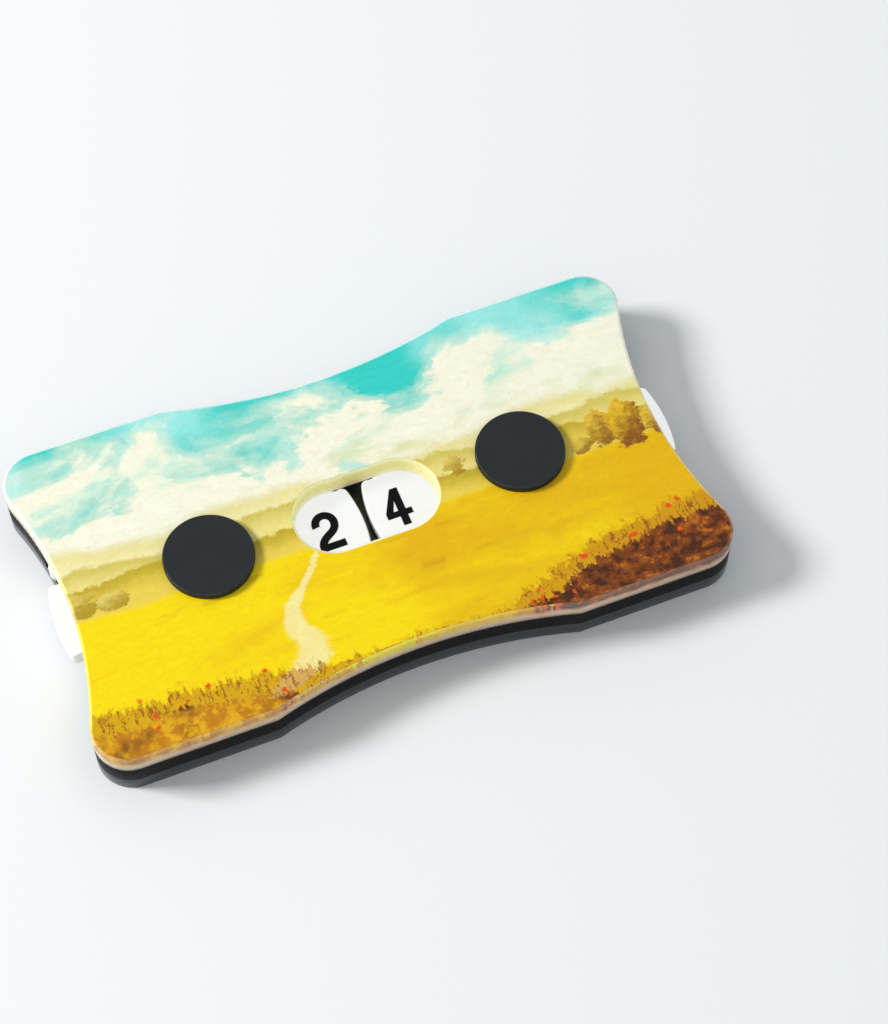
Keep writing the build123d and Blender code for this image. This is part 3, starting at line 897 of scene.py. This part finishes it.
class COUNTER_OT_rails(CounterBuilder, bpy.types.Operator):
    """Finishes the two black rails and the bond layers above and below them"""

    bl_idname = "counter.rails"
    bl_label = "Rails and bond layers"

    def execute(self, context):
        sizes = self.sizes
        rail_finish = matt_black(self.paints, **heights("spacer_far"))
        tape_finish = bond_tape(self.paints)
        for side in RAIL_SIDES:
            rail = softened_copy("spacer_" + side, sizes.sheet_edge / 2)
            dress(rail, "root", "black_acrylic", rail_finish, "spacer_" + side)
            for layer, up in (("lower_tape_", 0.0), ("upper_tape_", sizes.overlap)):
                tape = softened_copy(layer + side, 0.0, stretch_up=up)
                dress(tape, "root", "bond_tape", tape_finish, layer + side)
        return {"FINISHED"}


class COUNTER_OT_top_plate(CounterBuilder, bpy.types.Operator):
    """Finishes the clear top sheet"""

    bl_idname = "counter.top_plate"
    bl_label = "Top plate"

    def execute(self, context):
        piece = softened_copy("top_plate", self.sizes.sheet_edge)
        material = clear_acrylic(self.paints, **heights("top_plate"))
        dress(piece, "root", "clear_acrylic", material, "top_plate")
        return {"FINISHED"}


class COUNTER_OT_printed_face(CounterBuilder, bpy.types.Operator):
    """Lays the printed landscape on the top sheet"""

    bl_idname = "counter.printed_face"
    bl_label = "Printed face"

    def execute(self, context):
        piece = softened_copy("printed_face", self.sizes.print_edge, 2, stretch_down=self.sizes.overlap)
        dress(piece, "root", "printed_ink", printed_ink(self.paints), "printed_face")
        return {"FINISHED"}


class COUNTER_OT_dials(CounterBuilder, bpy.types.Operator):
    """Builds the two white dials from repeated lobes"""

    bl_idname = "counter.dials"
    bl_label = "Dials"

    def execute(self, context):
        tree = ring_tree()
        for side in DIAL_SIDES:
            node = "dial_" + side
            low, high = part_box(node)
            centre = (low + high) / 2
            rim = (high.x - low.x) / 2
            material = white_acrylic(self.paints, **heights(node))
            mesh = lobe_mesh(rim, low.z, high.z, self.sizes)
            values = {"Count": self.sizes.lobes, "Centre": (centre.x, centre.y, 0.0), "Start": 0.0,
                      "Material": material}
            piece = ring_piece(node + "_finished", mesh, tree, values)
            dress(piece, DIAL_BODIES[side], "white_acrylic", material, node)
        return {"FINISHED"}


class COUNTER_OT_numerals(CounterBuilder, bpy.types.Operator):
    """Inks the digits of both dials"""

    bl_idname = "counter.numerals"
    bl_label = "Numerals"

    def execute(self, context):
        material = digit_ink(self.paints)
        for node in NUMERALS.values():
            paint_node(node, material)
        return {"FINISHED"}


class COUNTER_OT_posts(CounterBuilder, bpy.types.Operator):
    """Finishes the black binding posts"""

    bl_idname = "counter.posts"
    bl_label = "Binding posts"

    def execute(self, context):
        for side in DIAL_SIDES:
            node = "post_" + side
            material = black_post(self.paints, **heights(node))
            piece = softened_copy(node, self.sizes.metal_edge / 2, 2)
            dress(piece, "root", "black_post", material, node)
        return {"FINISHED"}


class COUNTER_OT_fittings(CounterBuilder, bpy.types.Operator):
    """Finishes the screws, the disc springs and the slip washers"""

    bl_idname = "counter.fittings"
    bl_label = "Screws, springs and washers"

    def execute(self, context):
        finishes = {
            "screw_": ("screw_steel", bright_steel("screw_steel", self.paints, 0.12)),
            "disc_spring_": ("spring_steel", bright_steel("spring_steel", self.paints, 0.3)),
            "slip_washer_": ("washer_nylon", washer_nylon(self.paints)),
        }
        for start, (slot, material) in finishes.items():
            for side in DIAL_SIDES:
                edge = self.sizes.metal_edge if start == "screw_" else self.sizes.metal_edge / 4
                piece = softened_copy(start + side, edge, 2)
                dress(piece, "root", slot, material, start + side)
        return {"FINISHED"}


class COUNTER_OT_stage(CounterBuilder, bpy.types.Operator):
    """Sets the pale floor, the light and the camera"""

    bl_idname = "counter.stage"
    bl_label = "Stage"

    def execute(self, context):
        stage = context.scene.counter_stage
        lay_floor(stage)
        light_world(stage)
        hang_lamp(stage)
        place_camera(stage)
        context.scene.view_settings.view_transform = "Standard"
        return {"FINISHED"}


FLOOR_HALF = 3.0


def lay_floor(stage):
    """A wide pale floor under the counter."""
    bm = bmesh.new()
    bmesh.ops.create_grid(bm, x_segments=1, y_segments=1, size=FLOOR_HALF)
    mesh = bpy.data.meshes.new("floor")
    bm.to_mesh(mesh)
    bm.free()
    material, g, shader = new_material("floor_paper", Roughness=0.6, Specular_IOR_Level=0.3)
    grain = g.noise(g.millimetres(), 0.8, 3.0, 0.6)
    g.feed(shader["Base Color"], g.mix(grain, stage.floor, [v * 0.985 for v in stage.floor]))
    mesh.materials.append(material)
    floor = bpy.data.objects.new("floor", mesh)
    bpy.context.scene.collection.objects.link(floor)


def light_world(stage):
    """Even light from all round, which looks white in reflections and through the clear sheet."""
    world = bpy.data.worlds.new("studio")
    world.use_nodes = True
    bpy.context.scene.world = world
    g = Graph(world.node_tree)
    path = g.node("ShaderNodeLightPath").outputs
    seen = g.math("MAXIMUM", path["Is Camera Ray"], path["Is Glossy Ray"])
    seen = g.math("MAXIMUM", seen, path["Is Transmission Ray"])
    background = world.node_tree.nodes["Background"].inputs
    g.feed(background["Color"], rgb(246, 250, 252))
    g.feed(background["Strength"], g.fit(seen, stage.ambient, 1.0))


def hang_lamp(stage):
    """One soft square lamp, as strong as its part of the light on the floor."""
    lamp = bpy.data.lights.new("soft_lamp", "AREA")
    lamp.shape = "SQUARE"
    lamp.size = stage.lamp_size
    lamp.energy = (stage.lamp_share * math.pi * math.pi * stage.lamp_distance ** 2
                   / math.sin(stage.lamp_elevation))
    lamp.color = (1.0, 0.985, 0.965)
    light = bpy.data.objects.new("soft_lamp", lamp)
    flat = math.cos(stage.lamp_elevation)
    towards = Vector((math.cos(stage.lamp_azimuth) * flat, math.sin(stage.lamp_azimuth) * flat,
                      math.sin(stage.lamp_elevation)))
    light.location = towards * stage.lamp_distance
    light.rotation_mode = "QUATERNION"
    light.rotation_quaternion = towards.to_track_quat("Z", "Y")
    bpy.context.scene.collection.objects.link(light)


def place_camera(stage):
    """The camera at the photograph's angle."""
    data = bpy.data.cameras.new("camera")
    data.sensor_width = 36.0
    data.lens = stage.focal_length
    data.clip_start = 0.01
    data.clip_end = 20.0
    camera = bpy.data.objects.new("camera", data)
    turn = (Matrix.Rotation(stage.camera_azimuth, 3, "Z")
            @ Matrix.Rotation(math.pi / 2 - stage.camera_elevation, 3, "X")
            @ Matrix.Rotation(stage.camera_roll, 3, "Z"))
    camera.rotation_mode = "QUATERNION"
    camera.rotation_quaternion = turn.to_quaternion()
    camera.location = Vector(stage.camera_target) + turn @ Vector((0, 0, stage.camera_distance))
    bpy.context.scene.collection.objects.link(camera)
    bpy.context.scene.camera = camera


BUILDERS = (
    COUNTER_OT_finishes,
    COUNTER_OT_base_plate,
    COUNTER_OT_rails,
    COUNTER_OT_top_plate,
    COUNTER_OT_printed_face,
    COUNTER_OT_dials,
    COUNTER_OT_numerals,
    COUNTER_OT_posts,
    COUNTER_OT_fittings,
    COUNTER_OT_stage,
)


class COUNTER_PT_build(bpy.types.Panel):
    """Lists what can be built and changed"""

    bl_idname = "COUNTER_PT_build"
    bl_label = "Life counter"
    bl_space_type = "VIEW_3D"
    bl_region_type = "UI"
    bl_category = "Counter"

    def draw(self, context):
        layout = self.layout
        for builder in BUILDERS:
            layout.operator(builder.bl_idname)
        for settings in (context.scene.counter_sizes, context.scene.counter_colours,
                         context.scene.counter_stage):
            box = layout.box()
            for name in settings.__annotations__:
                box.prop(settings, name)


SETTINGS = {
    "counter_sizes": CounterSizes,
    "counter_colours": CounterColours,
    "counter_stage": CounterStage,
}


def register():
    """Adds the settings, the operators and the panel."""
    for name, settings in SETTINGS.items():
        bpy.utils.register_class(settings)
        setattr(bpy.types.Scene, name, PointerProperty(type=settings))
    for builder in BUILDERS:
        bpy.utils.register_class(builder)
    bpy.utils.register_class(COUNTER_PT_build)


def unregister():
    """Takes the settings, the operators and the panel away."""
    bpy.utils.unregister_class(COUNTER_PT_build)
    for builder in reversed(BUILDERS):
        bpy.utils.unregister_class(builder)
    for name, settings in reversed(SETTINGS.items()):
        delattr(bpy.types.Scene, name)
        bpy.utils.unregister_class(settings)


def main():
    """Builds everything in order."""
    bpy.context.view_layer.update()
    register()
    for builder in BUILDERS:
        group, name = builder.bl_idname.split(".")
        getattr(getattr(bpy.ops, group), name)()


if __name__ == "__main__":
    main()
